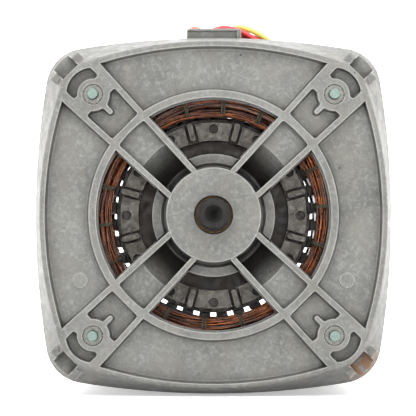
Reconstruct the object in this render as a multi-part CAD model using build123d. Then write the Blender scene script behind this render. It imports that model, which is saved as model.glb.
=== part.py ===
"""Open-frame single-phase induction motor with four-arm die-cast end shields.

Row frame: X to the right, Y along the shaft from the output end to the rear, Z up.
The origin is on the shaft axis, in the plane of the front shield's bolt bosses.

Pieces are drawn in a flat working frame: x right, y up, and a depth behind the
origin plane. save() turns that frame so that depth becomes +Y and y becomes +Z.
"""

import os
from math import atan2, cos, degrees, hypot, radians, sin, sqrt, tan

from build123d import *

# ---------------------------------------------------------------- driving sizes (mm)
# Bolts and the outlines of the two end shields
bolt_spacing = 95.25
bolt_radius = 2.4
bolt_shank_radius = 2.15
thread_runout = 0.1
bolt_hole_radius = 2.7
bolt_stud_length = 5.0
bolt_head_height = 3.4
bolt_head_across = 7.9
bolt_flange_radius = 4.4
bolt_flange_thickness = 0.7
washer_thickness = 1.2
washer_radius = 4.6
knurl_radius = 3.85
knurl_teeth = 24
knurl_tooth_height = 0.32
knurl_tooth_width = 0.55
knurl_length = 7.0
knurl_clearance = 0.25
boss_radius = 6.2
rim_half = 68.7
rim_corner_radius = 12.8
base_half = 71.5
base_corner_centre = 51.3
base_corner_radius = 16.0

# Lengths along the shaft
front_shield_depth = 30.0
rear_shield_depth = 40.0
stack_length = 52.0
lap = 4.0
flank_depth = 18.0

# Casting sections
rim_width = 2.0
rim_round = 1.1
panel_depth = 4.0
panel_floor = 3.5
skirt_wall = 5.5
lap_wall = 2.7
stack_fit = 0.15
kidney_depth = 4.6
kidney_reach = 4.4
kidney_half_width = 6.7
kidney_start = 3.9
boss_stub_reach = 4.4
boss_stub_width = 1.9
pocket_fillet = 0.8
pocket_draft = 10.0

# Corner notches and ears, lead hood and lead exit, marks on the face
notch_width = 8.2
notch_reach = 79.9
notch_floor = 15.0
ear_width = 3.6
ear_reach = 84.3
ear_top = 5.5
hood_x = (-10.8, 11.2)
hood_top = 75.4
hood_depth = (20.0, 26.0)
hood_wall = 3.0
hood_cheek = 2.4
hood_sink = 0.7
hood_edge = (1.7, 0.9)
exit_width = 14.6
exit_floor = 65.5
exit_pad_height = 3.0
exit_depth = (19.7, 29.4)
mark_radius = 3.1
mark_place = (52.8, -25.8)
mark_height = 0.5

# Central opening, arms and hub
ring_inner = 46.4
ring_width = 3.0
ring_lip = 0.6
arm_half_at_hub = 6.8
arm_spread = 0.047
rib_width = 2.2
hub_radius = 18.7
hub_draft = 1.3
hub_proud = 0.5
hub_base_radius = 24.6
hub_base_depth = 14.0
hub_groove_width = 0.9
hub_groove_depth = 1.4
hub_back_depth = 20.0
web_break_radius = 34.0
web_wall = 3.5
hub_hole_radius = 7.2

# Shaft, bearings and running fits
shaft_radius = 6.35
shaft_overhang = 20.0
relief_depth = 0.35
relief_width = 0.9
rotor_seat_radius = 7.94
running_fit = 0.03
seat_fit = 0.02
bearing_sphere_radius = 12.0
bearing_centre_depth = 12.5
bearing_length = 15.0
bearing_pocket_radius = 14.2

# Stator
slot_count = 36
stator_bore = 39.7
slot_opening = 2.4
slot_throat_radius = 41.0
slot_bottom_radius = 55.6
slot_width_inner = 3.9
slot_width_outer = 5.3
liner_thickness = 0.3
wedge_radius = 43.3
wedge_thickness = 0.9
cuff_length = 2.0

# End turns, as radius limits and reach beyond the stack
start_turns = (41.2, 48.6)
rear_start_turns = (43.0, 48.6)
main_turns = (49.1, 59.4)
start_reach = 13.0
main_reach = 16.5
turns_gap = 2.2
lacing_count = 18

# Rotor
air_gap = 0.4
bar_count = 48
bar_radius = 1.05
bar_circle = 37.6
bar_end = 3.0
end_ring_outer = 37.5
end_ring_inner = 30.2
end_ring_length = 10.0
blade_count = 12
blade_thickness = 2.2
blade_rise = 3.0
blade_groove_depth = 5.0
blade_groove_width = 4.2
pad_hole_radius = 1.95
pad_hole_circle = 35.0
pad_hole_depth = 3.0

# Centrifugal governor and start switch
plate_thickness = 1.5
weight_pivot_radius = 17.5

# Terminal board, its tabs and the insulated connectors
board_half_width = 13.5
board_gap = 0.9
board_thickness = 2.4
board_from_rear = (38.0, 20.0)
tab_width = 6.35
tab_thickness = 0.8
tab_pitch = 7.6
tab_near = 71.0
tab_far = 91.4
middle_tab_far = 112.0
rivet_radius = 1.4
rivet_depth = 88.2
sleeve_near = 66.0
sleeve_far = 83.5
sleeve_half_width = 3.5
sleeve_half_height = 2.4
terminal_screw_x = 10.8
terminal_screw_depth = 94.5
terminal_screw_radius = 1.4
terminal_screw_length = 7.5
terminal_head_radius = 2.6
terminal_head_height = 1.6

# Lead wires and their grommet
lead_radius = 1.1
grommet_x = 23.1
grommet_depth = 24.9
lead_bundle_radius = 1.48
lead_foot = 58.0
grommet_waist = 3.9
grommet_bore = 2.95
grommet_lip = 0.8
grommet_flange = 0.5

# ---------------------------------------------------------------- derived places
bolt_at = bolt_spacing / 2
bolt_circle = hypot(bolt_at, bolt_at)
ring_outer = ring_inner + ring_width
cavity_depth = panel_depth + panel_floor
stack_front = front_shield_depth
stack_rear = stack_front + stack_length
body_length = stack_rear + rear_shield_depth
rotor_radius = stator_bore - air_gap
groove_radius = hub_radius + hub_draft + hub_groove_width
board_bottom = base_half + board_gap
board_top = board_bottom + board_thickness
board_near, board_far = [body_length - reach for reach in board_from_rear]
tab_middle = board_top + tab_thickness / 2
DIAGONALS = (45, 135, 225, 315)


# ---------------------------------------------------------------- small helpers
def slab(sketch, near, far):
    """The sketch extruded between two depths behind the origin plane."""
    return Pos(0, 0, -far) * extrude(sketch, amount=far - near)


def disc(radius, near, far):
    return slab(Circle(radius), near, far)


def tube(outer, inner, near, far):
    return slab(Circle(outer) - Circle(inner), near, far)


def turned(points):
    """A solid of revolution about the shaft, from (radius, depth) corners."""
    profile = Polygon(*[(r, -d) for r, d in points], align=None)
    return revolve(Plane.XZ * profile, Axis.Z)


def block(x, y, depth):
    """A box from three (low, high) pairs."""
    size = [hi - lo for lo, hi in (x, y, depth)]
    return Pos(sum(x) / 2, sum(y) / 2, -sum(depth) / 2) * Box(*size)


def around(shape, count, start=0.0):
    """Copies of a shape spaced evenly about the shaft."""
    return [Rot(0, 0, start + 360 * n / count) * shape for n in range(count)]


def on_diagonals(shape):
    return [Rot(0, 0, a) * shape for a in DIAGONALS]


def at_bolts(shape):
    return [Pos(sx * bolt_at, sy * bolt_at, 0) * shape for sx in (-1, 1) for sy in (-1, 1)]


def save(name, *shapes):
    """Writes a node, turned so that depth runs along +Y."""
    solids = [s for shape in shapes for s in shape.solids()]
    export_step(Compound([Rot(90, 0, 0) * s for s in solids]), f"parts/{name}.step")


def flipped(shape):
    """The same shape for the rear end, measured forward from the rear face plane."""
    return mirror(shape, about=Plane.XY.offset(-body_length / 2))


# ---------------------------------------------------------------- outlines
def bulged_square(half, corner_centre, corner_radius):
    """Four bowed sides that run tangent into four round corners."""
    rise = half - corner_centre
    side = (corner_centre**2 + rise**2 - corner_radius**2) / (2 * (rise - corner_radius))
    lean = degrees(atan2(corner_centre, side - rise))
    edges = []
    for n in range(4):
        turn = Rot(0, 0, 90 * n)
        bow = CenterArc((0, half - side), side, 90 - lean, 2 * lean)
        corner = CenterArc((-corner_centre, corner_centre), corner_radius, 90 + lean, 90 - 2 * lean)
        edges += [turn * bow, turn * corner]
    return make_face(edges)


def rim_outline(inset=0.0):
    return bulged_square(rim_half - inset, bolt_at, rim_corner_radius - inset)


def base_outline(inset=0.0):
    return bulged_square(base_half - inset, base_corner_centre, base_corner_radius - inset)


def arm_band(start, end, margin=0.0):
    """The plan of one arm along +x: two ribs that spread slowly outwards."""

    def half(r):
        return arm_half_at_hub + arm_spread * (r - hub_radius) + margin

    return Polygon(
        (start, -half(start)), (end, -half(end)), (end, half(end)), (start, half(start)), align=None
    )


def rounded(sketch, radius):
    """Each face of a sketch with its corners rounded."""
    return Sketch() + [fillet(f.vertices(), radius) for f in sketch.faces()]


def pocket(sketch, depth, corner, draft=pocket_draft):
    """Pocket cutters with round corners, drafted walls and a filleted floor."""
    cutters = []
    for face in rounded(sketch, corner).faces():
        mouth = slab(face, -2, 0)
        body = extrude(face, amount=-depth, taper=draft)
        floor_edges = body.faces().sort_by(Axis.Z)[0].edges()
        floor_fillet = min(pocket_fillet, 0.6 * (corner - depth * tan(radians(draft))))
        cutters.append(mouth + fillet(floor_edges, floor_fillet))
    return cutters


# ---------------------------------------------------------------- end shields
def shield_shell(depth):
    """The hollow bowed bowl that carries the hub: flank, straight skirt and face."""
    flank = loft([Pos(0, 0, -flank_depth) * base_outline(), rim_outline()])
    flank = fillet(flank.faces().sort_by(Axis.Z)[-1].edges(), rim_round)
    return flank + slab(base_outline(), flank_depth, depth + lap)


def shield_cavity(depth):
    """The space for the end turns, and the wider lap that fits over the stack."""
    top = rim_outline(rim_width + 2.6)
    foot = rim_outline(skirt_wall - (base_half - rim_half))
    space = loft([Pos(0, 0, -flank_depth) * foot, Pos(0, 0, -cavity_depth) * top])
    space += slab(foot, flank_depth, depth)
    space += slab(base_outline(lap_wall), depth, depth + lap + 1)
    return space


def face_recesses():
    """Four bowed panels, and on each arm a pocket and a kidney round the bolt boss."""
    arms_out = [Rot(0, 0, a) * arm_band(0, 120, rib_width / 2) for a in DIAGONALS]
    panels = rim_outline(rim_width) - Circle(ring_outer) - arms_out
    cuts = pocket(panels, panel_depth, 1.8)

    inner_arm = arm_band(ring_outer, bolt_circle - 4.2, -rib_width / 2)
    inner_arm -= Circle(ring_outer)
    inner_arm -= Pos(bolt_circle, 0) * Circle(boss_radius + 0.4)
    stub_length = boss_radius + boss_stub_reach
    stub = Pos(bolt_circle - stub_length / 2, 0) * Rectangle(stub_length, boss_stub_width)
    for cutter in pocket(inner_arm - stub, panel_depth, 0.9):
        cuts += on_diagonals(cutter)

    ring = Pos(bolt_circle, 0) * (Circle(boss_radius + kidney_reach) - Circle(boss_radius))
    length = boss_radius + kidney_reach
    window = Pos(bolt_circle + kidney_start + length / 2, 0) * Rectangle(length, 2 * kidney_half_width)
    for cutter in pocket(ring & window, kidney_depth, 1.0, draft=3.0):
        cuts += on_diagonals(cutter)
    return cuts


def hub_cone(inset=0.0):
    return turned(
        [
            (0, -hub_proud),
            (hub_radius - inset, -hub_proud),
            (hub_radius + hub_draft - inset, hub_base_depth),
            (hub_radius + hub_draft - inset, hub_back_depth),
            (0, hub_back_depth),
        ]
    )


def spider():
    """The full turned disc that the apertures later divide into four arms."""
    underside_break = web_break_radius + web_wall
    return turned(
        [
            (0, 0),
            (ring_inner + 1.5, 0),
            (ring_inner + 1.5, cavity_depth),
            (underside_break, cavity_depth),
            (hub_base_radius, hub_back_depth),
            (0, hub_back_depth),
        ]
    )


def arm_troughs():
    """The dished web between an arm's two ribs, from the ring down to the hub."""
    dish = turned(
        [
            (hub_radius - 1, -3),
            (ring_inner + 0.1, -3),
            (ring_inner + 0.1, panel_depth),
            (web_break_radius, panel_depth),
            (hub_radius + hub_draft + 2.0, hub_base_depth),
            (groove_radius, hub_base_depth),
            (groove_radius, hub_base_depth + hub_groove_depth),
            (hub_radius - 1, hub_base_depth + hub_groove_depth),
        ]
    )
    plan = arm_band(hub_radius - 2, ring_outer, -rib_width / 2)
    plan = rounded(plan & Circle(ring_inner), 1.0)
    trough = slab(plan, -3, hub_back_depth) & dish
    return [t - hub_cone() for t in on_diagonals(trough)]


def apertures():
    """Four air openings with a narrow lip, and the step round the hub."""
    cuts = []
    for lip, near, far in ((0.0, -3, panel_depth + 0.8), (ring_lip, panel_depth, 60)):
        arms = [Rot(0, 0, a) * arm_band(0, 80, rib_width / 2 + lip) for a in DIAGONALS]
        window = Circle(ring_inner - lip) - Circle(hub_base_radius) - arms
        for face in window.faces():
            outer_corners = face.vertices().sort_by(lambda v: hypot(v.X, v.Y))[-2:]
            cuts.append(slab(fillet(outer_corners, 2.4), near, far))
    arms = [Rot(0, 0, a) * arm_band(0, 80, rib_width / 2) for a in DIAGONALS]
    step = Circle(hub_base_radius + 0.5) - Circle(hub_radius - 1) - arms
    cuts += [slab(f, -3, hub_base_depth) - hub_cone() for f in step.faces()]
    wide_arms = [Rot(0, 0, a) * arm_band(0, 80, rib_width / 2 + hub_groove_width) for a in DIAGONALS]
    pad = Circle(hub_base_radius + 1) - Circle(groove_radius) - wide_arms
    groove = Circle(hub_base_radius - 0.4) - Circle(hub_radius - 1) - arms - pad
    groove_floor = hub_base_depth + hub_groove_depth
    cuts += [slab(f, hub_base_depth - 1, groove_floor) - hub_cone() for f in groove.faces()]
    return cuts


def bearing_housing():
    """The spherical seat and the felt pocket behind the hub face."""
    seat = Pos(0, 0, -bearing_centre_depth) * Sphere(bearing_sphere_radius + running_fit)
    felt = disc(bearing_pocket_radius, bearing_centre_depth - 3.5, hub_back_depth + 1)
    return seat + felt


def end_shield(depth, hub_hole, extra=(), late=(), cuts=()):
    """One end shield, seen from its face, with its extras and cuts."""
    outer = shield_shell(depth)
    for piece in extra:
        outer += piece
    bosses = at_bolts(disc(boss_radius, 1, depth))
    body = outer - shield_cavity(depth)
    body -= disc(ring_inner, -3, cavity_depth + 1)
    body += bosses
    body += spider()
    body = body - apertures() - arm_troughs() - face_recesses()
    body += hub_cone()
    body = body - bearing_housing() - hub_hole
    body -= at_bolts(disc(bolt_hole_radius, -3, depth + lap + 1))
    for piece in late:
        body += piece
    for cut in cuts:
        body -= cut
    return body


def corner_notches():
    """Locating notches on the diagonals, each between two flat-topped ears."""
    cutter = block((notch_reach, 2 * base_half), (-notch_width / 2, notch_width / 2), (-3, notch_floor))
    ears = []
    for side in (-1, 1):
        middle = side * (notch_width + ear_width) / 2
        width = (middle - ear_width / 2, middle + ear_width / 2)
        ear = block((notch_reach - 4, ear_reach), width, (ear_top, notch_floor + 2))
        ears.append(fillet(ear.faces().sort_by(Axis.Z)[-1].edges().sort_by(Axis.X)[1:], 0.6))
    return on_diagonals(cutter), [e for ear in ears for e in on_diagonals(ear)]


def lead_guard():
    """The cast hood on top that shields the lead wires: a sunk front wall and two cheeks."""
    left, right = hood_x
    front, back = hood_depth
    side_edge, top_edge = hood_edge
    body = block((left, right), (base_half - 3.5, hood_top), (front, back))
    body = fillet(body.edges().filter_by(Axis.Z).sort_by(Axis.Y)[-2:], 1.0)
    between = (left + hood_cheek, right - hood_cheek)
    hollow = block(between, (base_half + 0.2, hood_top + 2), (front + hood_wall, back + 1))
    sunk = block((left - 1, right - side_edge), (60, hood_top - top_edge), (front - 1, front + hood_sink))
    return body - hollow - sunk


def lead_exit():
    """A sunk pocket in the skirt where the leads come up, and the pad inside that carries it."""
    side = grommet_x - 10.0
    pad_x = (side + 2, side + exit_width + 3)
    pad = block(pad_x, (exit_floor - exit_pad_height, 69), (flank_depth, front_shield_depth))
    cut = block((side, side + exit_width), (exit_floor, 90), exit_depth)
    return pad, fillet(cut.edges().filter_by(Axis.Y), 1.5)


def ejector_discs():
    """Two round ejector marks, standing proud of the lower half of the side panels."""
    x, y = mark_place
    disc_mark = disc(mark_radius, panel_depth - mark_height, panel_depth + 1)
    return [Pos(side * x, y, 0) * disc_mark for side in (-1, 1)]


def knurled_nut():
    """A round press-in nut with straight teeth that bite into the boss."""
    tooth = Pos(knurl_radius - 0.1, 0) * Rectangle(2 * knurl_tooth_height, knurl_tooth_width)
    plan = Circle(knurl_radius - knurl_tooth_height) + around(tooth, knurl_teeth)
    return slab(plan - Circle(bolt_shank_radius + seat_fit), thread_runout, knurl_length)


def terminal_pad():
    """A flat on top of the rear shield that carries the terminal board."""
    far, near = board_from_rear
    return block((-board_half_width, board_half_width), (60, board_bottom), (near, far))


def build_shields():
    notches, ears = corner_notches()
    nut_seats = at_bolts(disc(knurl_radius + knurl_clearance, -1, knurl_length))
    exit_pad, exit_cut = lead_exit()
    grommet_hole = upright(grommet_x, grommet_depth) * Pos(0, 0, lead_foot) * peg(grommet_waist, 12)
    shaft_hole = disc(hub_hole_radius, -3, hub_back_depth) + turned(
        [
            (0, -3),
            (hub_hole_radius + 0.6, -3),
            (hub_hole_radius + 0.6, -hub_proud),
            (hub_hole_radius, 0.6 - hub_proud),
            (0, 0.6 - hub_proud),
        ]
    )
    front = end_shield(
        front_shield_depth,
        shaft_hole,
        extra=[lead_guard(), *ears],
        late=[exit_pad],
        cuts=[*notches, *nut_seats, exit_cut, grommet_hole],
    )
    for mark in ejector_discs():
        front += mark
    save("front_end_shield", front)
    save("knurled_nuts", *at_bolts(knurled_nut()))

    pad_holes = [
        upright(sx * terminal_screw_x, body_length - terminal_screw_depth)
        * Pos(0, 0, 64)
        * peg(terminal_screw_radius, 20)
        for sx in (-1, 1)
    ]
    cap_seat = disc(hub_hole_radius, -3, hub_back_depth) + disc(cap_flange_radius, -3, 0.4)
    switch_holes = [
        Rot(0, 0, a) * Pos(switch_screw_circle, 0, 0) * disc(0.9, hub_back_depth - 4, hub_back_depth + 1)
        for a in switch_screw_angles
    ]
    rear = end_shield(
        rear_shield_depth,
        cap_seat,
        extra=[terminal_pad()],
        cuts=[*pad_holes, *switch_holes],
    )
    save("rear_end_shield", flipped(rear))


# ---------------------------------------------------------------- fasteners
def through_bolt():
    length = body_length + washer_thickness
    stud = disc(bolt_radius, -bolt_stud_length, -thread_runout)
    stud = chamfer(stud.faces().sort_by(Axis.Z)[-1].edges(), 0.6)
    shank = stud + disc(bolt_shank_radius, -thread_runout, length)
    head = slab(RegularPolygon(bolt_head_across / sqrt(3), 6), length, length + bolt_head_height)
    flange = disc(bolt_flange_radius, length, length + bolt_flange_thickness)
    return shank + head + flange


def build_fasteners():
    save("through_bolts", *at_bolts(through_bolt()))
    washer = tube(washer_radius, bolt_hole_radius, body_length, body_length + washer_thickness)
    save("bolt_washers", *at_bolts(washer))


# ---------------------------------------------------------------- stator
def slot_plan(clear=0.0):
    """One slot on +x: a throat at the bore, then a body that widens outwards."""
    throat = Pos((stator_bore + slot_throat_radius) / 2, 0) * Rectangle(
        slot_throat_radius - stator_bore + 2, slot_opening
    )
    inner, outer = slot_width_inner / 2 - clear, slot_width_outer / 2 - clear
    body = Polygon(
        (slot_throat_radius + clear, -inner),
        (slot_bottom_radius - clear, -outer),
        (slot_bottom_radius - clear, outer),
        (slot_throat_radius + clear, inner),
        align=None,
    )
    return throat, body


def slot_width_at(r):
    share = (r - slot_throat_radius) / (slot_bottom_radius - slot_throat_radius)
    return slot_width_inner + share * (slot_width_outer - slot_width_inner)


def slot_strip(inner, outer, clear):
    """The part of a slot between two radii, clear of the walls."""
    a, b = slot_width_at(inner) / 2 - clear, slot_width_at(outer) / 2 - clear
    return Polygon((inner, -a), (outer, -b), (outer, b), (inner, a), align=None)


def build_stator():
    throat, body = slot_plan()
    plan = base_outline(lap_wall + stack_fit) - Circle(stator_bore)
    plan -= around(throat, slot_count) + around(body, slot_count)
    plan -= at_bolts(Circle(bolt_hole_radius))
    save("stator_core", slab(plan, stack_front, stack_rear))

    near, far = stack_front - cuff_length, stack_rear + cuff_length
    lined = slot_strip(wedge_radius - 0.6, slot_bottom_radius - 0.02, 0.02)
    hollow = slot_strip(wedge_radius - 1.6, slot_bottom_radius - liner_thickness, liner_thickness)
    save("slot_liners", *around(slab(lined - hollow, near, far), slot_count))

    wedge = slot_strip(wedge_radius, wedge_radius + wedge_thickness, liner_thickness + 0.04)
    save("slot_wedges", *around(slab(wedge, near, far), slot_count))

    filled_from = wedge_radius + wedge_thickness + 0.05
    filled_to = slot_bottom_radius - liner_thickness - 0.05
    side = slot_strip(filled_from, filled_to, liner_thickness + 0.05)
    reach = turns_gap - 0.05
    save("coil_sides", *around(slab(side, stack_front - reach, stack_rear + reach), slot_count))


def end_turn_ring(limits, reach):
    """A rounded ring of end turns beyond the front face of the stack."""
    inner, outer = limits
    near, far = stack_front - reach, stack_front - turns_gap
    ring = tube(outer, inner, near, far)
    return fillet(ring.faces().sort_by(Axis.Z)[-1].edges(), 2.0)


def lacing_loop(start_limits):
    """One tie of lacing cord round both layers of end turns."""
    inner, outer = start_limits[0], main_turns[1]
    thick, width = 0.5, 1.4
    near, far = stack_front - main_reach, stack_front - turns_gap
    outside = block((inner - thick, outer + thick), (-width / 2, width / 2), (near - thick, far + thick))
    inside = block((inner - 0.1, outer + 0.1), (-width, width), (near - 0.1, far + 0.1))
    return outside - inside


def build_windings():
    half_pitch = 180 / slot_count
    middle = Plane.XY.offset(-(stack_front + stack_length / 2))
    for end, start_limits in (("front", start_turns), ("rear", rear_start_turns)):
        layers = {
            f"start_winding_{end}": [end_turn_ring(start_limits, start_reach)],
            f"main_winding_{end}": [end_turn_ring(main_turns, main_reach)],
            f"winding_lacing_{end}": around(lacing_loop(start_limits), lacing_count, start=half_pitch),
        }
        for name, shapes in layers.items():
            if end == "rear":
                shapes = [mirror(shape, about=middle) for shape in shapes]
            save(name, *shapes)


# ---------------------------------------------------------------- rotor
shaft_front = -(hub_proud + shaft_overhang)
shaft_rear = body_length - 2.0
rotor_seat_front = hub_back_depth + 2.2
rotor_seat_rear = stack_rear + 2.5


def build_shaft():
    journal = disc(shaft_radius, shaft_front, shaft_rear)
    journal = chamfer(journal.edges().filter_by(GeomType.CIRCLE), 1.0)
    seat = disc(rotor_seat_radius, rotor_seat_front, rotor_seat_rear)
    centre_mouth, centre_depth = 3.7, 3.2
    countersink = turned([(0, shaft_front - 0.1), (centre_mouth, shaft_front - 0.1), (0, shaft_front + centre_depth)])
    relief_rear = -hub_proud
    relief = tube(shaft_radius + 1, shaft_radius - relief_depth, relief_rear - relief_width, relief_rear)
    save("shaft", journal + seat - countersink - relief)


def end_ring():
    """The cast ring at the rotor's front end, with pads, grooves, blades and pits."""
    near, far = stack_front - end_ring_length, stack_front
    ring = tube(end_ring_outer, end_ring_inner, near, far)
    reach = end_ring_outer - end_ring_inner
    middle = (end_ring_outer + end_ring_inner) / 2
    step = 360 / blade_count
    groove = block(
        (end_ring_inner - 2, end_ring_outer + 2),
        (-blade_groove_width / 2, blade_groove_width / 2),
        (near - 1, near + blade_groove_depth),
    )
    pit = Pos(pad_hole_circle, 0, 0) * disc(pad_hole_radius, near - 1, near + pad_hole_depth)
    ring = ring - around(groove, blade_count, step / 2) - around(pit, blade_count)
    blade = block(
        (middle - reach / 2 + 0.6, middle + reach / 2 + 0.6),
        (-blade_thickness / 2, blade_thickness / 2),
        (near - blade_rise, far - 2),
    )
    rounded_blade = fillet(blade.edges().filter_by(Axis.Z), 0.9)
    return ring + around(rounded_blade, blade_count, step / 2)


def build_rotor():
    bar = Pos(bar_circle, 0) * Circle(bar_radius)
    plan = Circle(rotor_radius) - Circle(rotor_seat_radius + seat_fit) - around(bar, bar_count)
    save("rotor_core", slab(plan, stack_front, stack_rear))
    ring = end_ring()
    middle = Plane.XY.offset(-(stack_front + stack_length / 2))
    rear_ring = mirror(ring, about=middle)
    bars = around(slab(bar, stack_front - bar_end, stack_rear + bar_end), bar_count)
    cage = ring + rear_ring + bars
    save("rotor_cage", cage)


# ---------------------------------------------------------------- bearings
cap_flange_radius = 9.4


def sleeve_bearing():
    ball = Pos(0, 0, -bearing_centre_depth) * Sphere(bearing_sphere_radius)
    near = bearing_centre_depth - bearing_length / 2
    far = bearing_centre_depth + bearing_length / 2
    return ball & tube(bearing_sphere_radius + 1, shaft_radius + running_fit, near, far)


def oil_felt():
    return tube(bearing_pocket_radius - 0.1, bearing_sphere_radius + 0.3, 9.2, 16.4)


def bearing_retainer():
    """A dished spring ring with slots, pressed in behind the bearing."""
    ring = turned([(10.7, 18.7), (bearing_pocket_radius, 16.9), (bearing_pocket_radius, 17.5), (10.7, 19.3)])
    slot = block((9, 12.6), (-0.7, 0.7), (15, 21))
    return ring - around(slot, 8)


def thrust_washers():
    outer, inner = 10.2, shaft_radius + running_fit
    first = tube(outer, inner, hub_back_depth + 0.3, hub_back_depth + 1.1)
    second = tube(outer - 0.8, inner, hub_back_depth + 1.2, rotor_seat_front - 0.05)
    return [first, second]


def build_bearings():
    save("front_bearing", sleeve_bearing())
    save("front_oil_felt", oil_felt())
    save("front_bearing_retainer", bearing_retainer())
    save("front_thrust_washers", *thrust_washers())
    save("rear_bearing", flipped(sleeve_bearing()))
    save("rear_oil_felt", flipped(oil_felt()))
    save("rear_bearing_retainer", flipped(bearing_retainer()))
    cap = disc(cap_flange_radius - 0.1, -0.9, 0.4) + disc(hub_hole_radius, 0.4, 2.2)
    cap -= disc(hub_hole_radius - 1.0, 0.5, 3)
    save("rear_bearing_cap", flipped(cap))


# ---------------------------------------------------------------- governor
plate_front = stack_rear + 1.0
plate_rear = plate_front + plate_thickness
pivot_depth = plate_rear + 7.5
pivot_pin_radius = 0.9
ear_offset = 6.2
ear_thickness = 1.2
collar_inner = shaft_radius + 0.06
collar_front = pivot_depth - 3.0
collar_rear = collar_front + 9.5
collar_flange = 13.0


def pivot_pin(sign):
    place = Pos(0, sign * weight_pivot_radius, -pivot_depth)
    return place * Rot(0, 90, 0) * Cylinder(pivot_pin_radius, 2 * (ear_offset + ear_thickness) + 0.6)


def governor_plate():
    plate = tube(26.0, rotor_seat_radius + seat_fit, plate_front, plate_rear)
    for sign in (-1, 1):
        for side in (-1, 1):
            inner, outer = ear_offset, ear_offset + ear_thickness
            x = (inner, outer) if side > 0 else (-outer, -inner)
            y = sorted((sign * (weight_pivot_radius - 2.2), sign * (weight_pivot_radius + 2.2)))
            ear = block(x, y, (plate_rear - 0.3, pivot_depth + 2.0))
            plate += fillet(ear.edges().filter_by(Axis.X).sort_by(Axis.Z)[:2], 1.6)
        plate -= pivot_pin(sign)
    return plate


def governor_weight(sign):
    """A flyweight: a heavy block towards the rotor and a finger in the collar's groove."""
    half = ear_offset - 0.25
    far_side = sorted((sign * 16.0, sign * 24.0))
    heavy = block((-half, half), far_side, (plate_rear + 1.0, pivot_depth - 1.6))
    heavy = fillet(heavy.edges().filter_by(Axis.X), 0.8)
    neck = block((-half, half), sorted((sign * 15.6, sign * 19.4)), (pivot_depth - 2.4, pivot_depth + 1.7))
    finger = block((-3.0, 3.0), sorted((sign * 9.7, sign * 16.5)), (pivot_depth - 0.7, pivot_depth + 0.7))
    weight = heavy + neck + finger
    bore = Pos(0, sign * weight_pivot_radius, -pivot_depth) * Rot(0, 90, 0) * Cylinder(
        pivot_pin_radius + 0.06, 40
    )
    return weight - bore


def governor_collar():
    """A moulded spool on the shaft, with a groove for the fingers and a push flange."""
    groove = (pivot_depth - 1.5, pivot_depth + 1.5)
    collar = turned(
        [
            (8.2, collar_front),
            (11.5, collar_front),
            (11.5, groove[0]),
            (9.3, groove[0]),
            (9.3, groove[1]),
            (11.5, groove[1]),
            (11.5, groove[1] + 1.4),
            (9.6, groove[1] + 1.4),
            (9.6, collar_rear - 2.0),
            (collar_flange, collar_rear - 2.0),
            (collar_flange, collar_rear),
            (collar_inner, collar_rear),
            (collar_inner, collar_rear - 2.5),
            (8.2, collar_rear - 2.5),
        ]
    )
    return collar


def governor_spring():
    """The return spring between the plate and the bottom of the collar's bore."""
    wire, mean = 0.45, 7.35
    near, far = plate_rear + wire + 0.02, collar_rear - 2.5 - wire - 0.02
    length = far - near
    coil = Helix(pitch=length / 4.5, height=length, radius=mean)
    path = Pos(0, 0, -far) * coil
    start = path @ 0
    section = Plane(origin=start, z_dir=path % 0) * Circle(wire)
    return sweep(section, path=path)


def build_governor():
    save("governor_plate", governor_plate())
    save("governor_pins", *[pivot_pin(s) for s in (-1, 1)])
    save("governor_weight_lower", governor_weight(-1))
    save("governor_weight_upper", governor_weight(1))
    save("governor_collar", governor_collar())
    save("governor_spring", governor_spring())


# ---------------------------------------------------------------- start switch
switch_screw_circle = 20.0
switch_screw_angles = (0, 90, 180, 270)
hub_back = body_length - hub_back_depth
base_thickness = 1.6
arm_thickness = 1.2
arm_rest_gap = 0.15
arm_near = collar_rear + arm_rest_gap
arm_far = arm_near + arm_thickness
switch_base_near = hub_back - base_thickness
switch_pivot_y = 27.5
switch_pivot_depth = (arm_near + arm_far) / 2
switch_pin_radius = 0.8


def switch_pin_shape(radius, length):
    return Pos(0, switch_pivot_y, -switch_pivot_depth) * Rot(0, 90, 0) * Cylinder(radius, length)


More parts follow.
